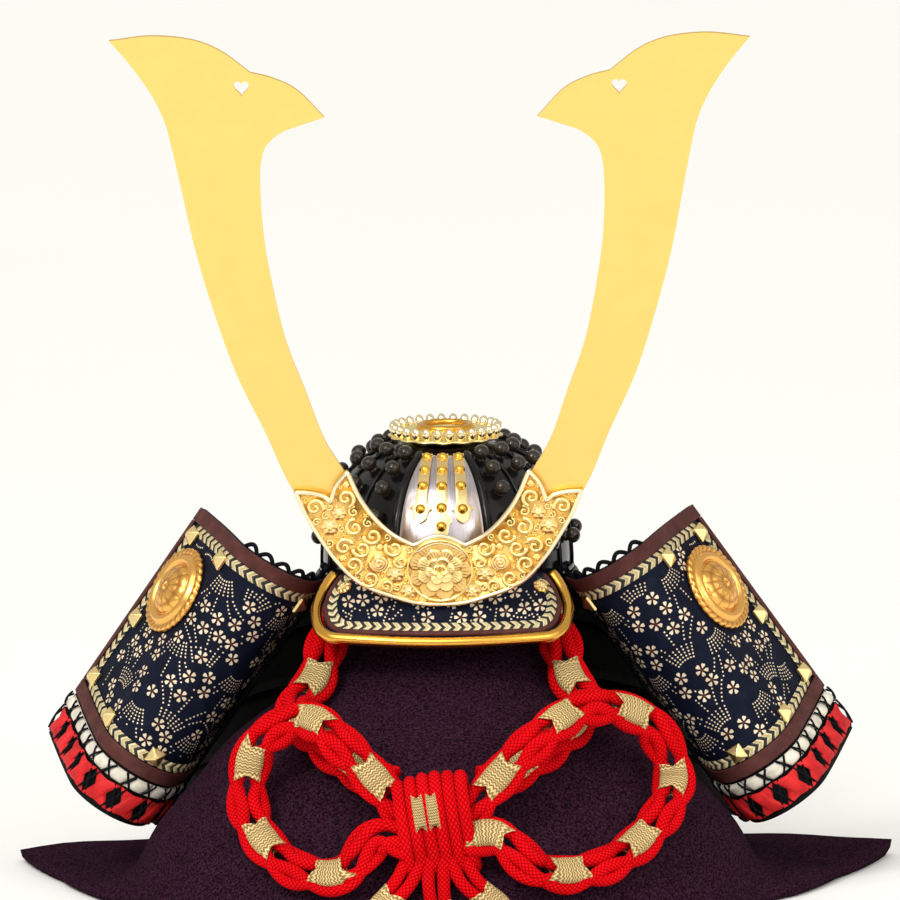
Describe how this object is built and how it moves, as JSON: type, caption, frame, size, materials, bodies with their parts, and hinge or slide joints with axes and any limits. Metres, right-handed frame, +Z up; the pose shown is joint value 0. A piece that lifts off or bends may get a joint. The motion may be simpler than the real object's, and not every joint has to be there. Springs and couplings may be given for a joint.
{
  "type": "kabuto samurai helmet on a cloth-draped display stand",
  "caption": "Display-size kabuto samurai helmet with tall gilt horns, star-riveted black bowl, printed turnbacks and a red chin cord tied in a bow, on a stand draped in purple crepe",
  "frame": {"origin": "under the middle of the rigid pieces, on the surface that the stand rests on", "axes": "+Z up, front towards -Y, +X to the right of a viewer who faces the front"},
  "size_m": [0.29, 0.2643, 0.2974],
  "materials": {
    "stand_wood": "plain",
    "purple_crepe": "crepe weave",
    "black_lacquer": "glossy black lacquer",
    "polished_steel": "polished, lightly brushed",
    "red_leather": "smooth",
    "white_leather": "smooth",
    "brown_leather": "smooth",
    "printed_leather": "dark blue with cream blossom print",
    "horn_gold": "bright gilt, flat",
    "gilt_brass": "gilt, polished",
    "red_cord": "braided",
    "gold_thread": "woven metallic thread"
  },
  "bodies": {
    "root": {"stand_core": "stand_wood", "stand_cloth": "purple_crepe", "bowl": "black_lacquer", "front_plate": "polished_steel", "strip_centre": "gilt_brass", "strip_left": "gilt_brass", "strip_right": "gilt_brass", "crown_disc": "gilt_brass", "crown_ring": "gilt_brass", "visor": "printed_leather", "visor_rim": "gilt_brass", "horn_base": "gilt_brass", "guard_row_1": "black_lacquer", "guard_row_2": "black_lacquer", "guard_row_3": "black_lacquer", "guard_row_4": "black_lacquer", "guard_lacing_red": "red_leather", "guard_lacing_white": "white_leather", "horn_left": "horn_gold", "visor_rosette_left": "gilt_brass", "turnback_left": "printed_leather", "band_top_left": "brown_leather", "band_foot_left": "brown_leather", "band_side_left": "brown_leather", "medal_left": "gilt_brass", "stud_left_1": "gilt_brass", "stud_left_2": "gilt_brass", "stud_left_3": "gilt_brass", "stud_left_4": "gilt_brass", "stud_left_5": "gilt_brass", "stud_left_6": "gilt_brass", "stud_left_7": "gilt_brass", "board_end_left": "black_lacquer", "end_lacing_white_left": "white_leather", "end_lacing_red_left": "red_leather", "chin_cord_left": "red_cord", "bow_loop_left": "red_cord", "horn_right": "horn_gold", "visor_rosette_right": "gilt_brass", "turnback_right": "printed_leather", "band_top_right": "brown_leather", "band_foot_right": "brown_leather", "band_side_right": "brown_leather", "medal_right": "gilt_brass", "stud_right_1": "gilt_brass", "stud_right_2": "gilt_brass", "stud_right_3": "gilt_brass", "stud_right_4": "gilt_brass", "stud_right_5": "gilt_brass", "stud_right_6": "gilt_brass", "stud_right_7": "gilt_brass", "board_end_right": "black_lacquer", "end_lacing_white_right": "white_leather", "end_lacing_red_right": "red_leather", "chin_cord_right": "red_cord", "bow_loop_right": "red_cord", "bow_knot": "red_cord", "cord_tail_left": "red_cord", "cord_tail_middle": "red_cord", "cord_tail_right": "red_cord"}
  },
  "joints": []
}
